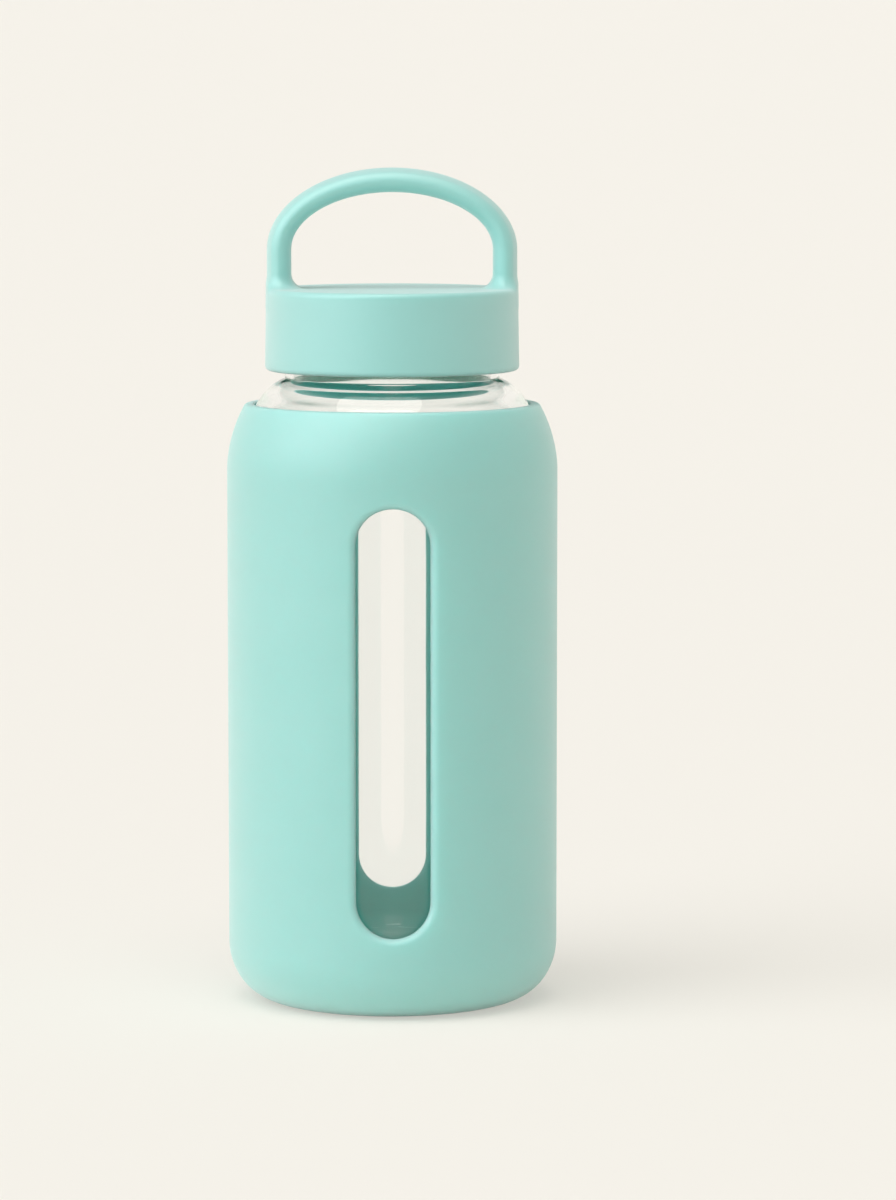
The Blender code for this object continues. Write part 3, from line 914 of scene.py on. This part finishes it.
print("the loop's arch springs at", round(LOOP_SPRING, 2), "mm")

# %% [markdown]
# ### The moulding as one distance
#
# The cup is a drafted drum with a rounded top edge and foot, hollowed from below for the inner cap. The
# loop is an arch with a smaller arch taken out of it. In the photograph the loop has a pale outer band and
# a darker inner one. That is a crowned outer side that meets a large inner round in a soft crease, so the
# outer arch is drawn in towards the loop's front and back.

# %% Sizes of the cap and its loop
CAP_WALL = 1.7
CAP_DRAFT = 0.4
CAP_TOP_PLATE = 2.4
CAP_TOP_ROUND = 1.5
CAP_FOOT_ROUND = 1.6
CAP_INNER_ROUND = 0.35
LOOP_INSET = 0.3
LOOP_THICKNESS = 6.6
LOOP_DEPTH = 13.0
LOOP_CROWN = 2.0
LOOP_CREASE = 1.6
LOOP_INNER_EDGE = 3.4
LOOP_FILLET = 4.0
LOOP_SIDE_ROUND = 0.4
# The crown stops growing a little outside the bar, so that the arch never shrinks to nothing.
CROWN_REACH = 1.2

liner_low, liner_high = box_mm("thread_liner")
CAP_FOOT = cap_low[2]
CAP_BORE = liner_high[0] + FIT
CAP_RADIUS = CAP_BORE + CAP_WALL
CAP_CEILING = liner_high[2] + FIT
CAP_CROWN = CAP_CEILING + CAP_TOP_PLATE
LOOP_OUTER = CAP_RADIUS - LOOP_INSET
print("cap crown at", round(CAP_CROWN, 2), "mm, radius", round(CAP_RADIUS, 2), "mm")


# %% Distance to the cap with its loop
def cap_distance(point):
    """Distance to the cap with its loop, for points in millimetres."""
    x, y, z = point.T
    around = np.hypot(x, y)
    lower = np.clip((CAP_CROWN - z) / (CAP_CROWN - CAP_FOOT), 0, 1)
    side = around - CAP_RADIUS - CAP_DRAFT * lower
    cup = round_meet(round_meet(side, z - CAP_CROWN, CAP_TOP_ROUND), CAP_FOOT - z, CAP_FOOT_ROUND)
    depth = np.abs(y) - LOOP_DEPTH / 2
    crown = LOOP_CROWN * np.minimum(np.abs(y) / (LOOP_DEPTH / 2), CROWN_REACH) ** 2
    outer = round_meet(arch(x, z, LOOP_OUTER - crown, LOOP_ARCH - crown), depth, LOOP_CREASE)
    inner = arch(x, z, LOOP_OUTER - LOOP_THICKNESS, LOOP_ARCH - LOOP_THICKNESS)
    bar = np.maximum(outer, round_meet(-inner, depth, LOOP_INNER_EDGE))
    bar = np.maximum(bar, CAP_CEILING - z)
    moulding = round_meet(round_join(cup, bar, LOOP_FILLET), side, LOOP_SIDE_ROUND)
    hollow = np.maximum(around - CAP_BORE, z - CAP_CEILING)
    return round_meet(moulding, -hollow, CAP_INNER_ROUND)


above_top = cap_distance(np.array([[0.0, 0.0, CAP_CROWN + 1.0]]))
print("a point 1 mm above the cap's top is", round(float(above_top[0]), 3), "mm away")

# %% [markdown]
# ### From the solid to the surface
#
# A distance has no faces of its own. Marching through a grid would make some, but uneven ones. Here the
# coarse solid is remeshed into small even faces, and every corner is then slid along the distance's slope
# until it lies on the surface. The slope at the end is also the true normal, and is kept for the shading.

# %% Remesh the solid and slide it onto the surface
REMESH = 0.55
SLIDES = 8
# Where the slope is almost level, as in a crease, a corner would be thrown too far.
LEAST_SLOPE = 0.25


def slope_of(distance, point, step=0.01):
    """The direction in which a distance grows."""
    moves = np.eye(3) * step
    return np.stack([distance(point + move) - distance(point - move) for move in moves], 1) / (2 * step)


block = bpy.data.objects.new("cap_block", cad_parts["cap_shell"].data.copy())
bpy.context.scene.collection.objects.link(block)
remesh = block.modifiers.new("remesh", "REMESH")
remesh.mode = "VOXEL"
remesh.voxel_size = REMESH * MM
even = bpy.data.meshes.new_from_object(block.evaluated_get(bpy.context.evaluated_depsgraph_get()))
bpy.data.objects.remove(block, do_unlink=True)
cloud = np.zeros(len(even.vertices) * 3)
even.vertices.foreach_get("co", cloud)
cloud = cloud.reshape(-1, 3) / MM
for _ in range(SLIDES):
    slope = slope_of(cap_distance, cloud)
    size = np.maximum((slope ** 2).sum(1), LEAST_SLOPE)
    cloud -= slope * (cap_distance(cloud) / size)[:, None]
faces = [list(polygon.vertices) for polygon in even.polygons]
cap = make_piece("moulded_cap_with_loop", cloud, faces, plastic, "cap", "cap_shell")
slope = slope_of(cap_distance, cloud)
slope /= np.linalg.norm(slope, axis=1)[:, None]
cap.data.normals_split_custom_set_from_vertices(slope)
print("furthest corner from the surface:", round(float(np.abs(cap_distance(cloud)).max()), 4), "mm")

# %% [markdown]
# ## Inner cap
#
# The inner cap is a plain threaded cup that is pressed into the shell, and hidden until the cap is
# unscrewed. A core that unscrews from the mould makes its thread, which fades out at the ends as the
# glass's does. A Boolean with the bottle's neck could cut it, but would leave slivers. So the cup is
# turned like the bottle, and its bore is swelled inwards by the same ridge.

# %% Make the inner cap
LINER_WALL = 1.5
LINER_PLATE = 1.6
LINER_EDGE = 0.5
LINER_ROWS = 54

liner_bore = liner_high[0] - LINER_WALL
liner_ceiling = liner_high[2] - LINER_PLATE
outline = rounded([
    (0, liner_high[2], 0), (liner_high[0], liner_high[2], LINER_EDGE),
    (liner_high[0], liner_low[2], LINER_EDGE), (liner_bore, liner_low[2], LINER_EDGE)])
bore_first = len(outline)
heights = np.linspace(outline[-1, 1], liner_ceiling, LINER_ROWS + 2)[1:-1]
bore = np.stack([np.full(LINER_ROWS, liner_bore), heights], 1)
outline = np.vstack([outline, bore, [[liner_bore, liner_ceiling], [0, liner_ceiling]]])


def bore_swell(index, height, angle):
    """The thread stands into the bore, half a lead below the one on the glass."""
    in_bore = bore_first <= index < bore_first + LINER_ROWS
    return -ridge(height, angle, THREAD_START - LEAD / 2) if in_bore else np.zeros_like(angle)


points, faces = turned(outline, swell=bore_swell)
make_piece("threaded_inner_cap", points, faces, liner_plastic, "cap", "thread_liner")

# %% [markdown]
# ## Gasket
#
# The gasket is a flat ring that is pinched between the inner cap and the glass rim. A die leaves its
# edges almost square. Blender's own ring, the torus, is round in section, so the gasket is turned from a
# rectangle with small rounds. The outline is closed, so that it has no start and no end.

# %% Make the gasket
GASKET_BORE = 25.7
GASKET_EDGE = 0.35

seal_low, seal_high = box_mm("seal_ring")
outline = rounded([
    (seal_high[0], seal_high[2], GASKET_EDGE), (seal_high[0], seal_low[2], GASKET_EDGE),
    (GASKET_BORE, seal_low[2], GASKET_EDGE), (GASKET_BORE, seal_high[2], GASKET_EDGE)], steps=3)
points, faces = turned(outline, closed=True)
make_piece("flat_gasket", points, faces, gasket, "seal", "seal_ring")
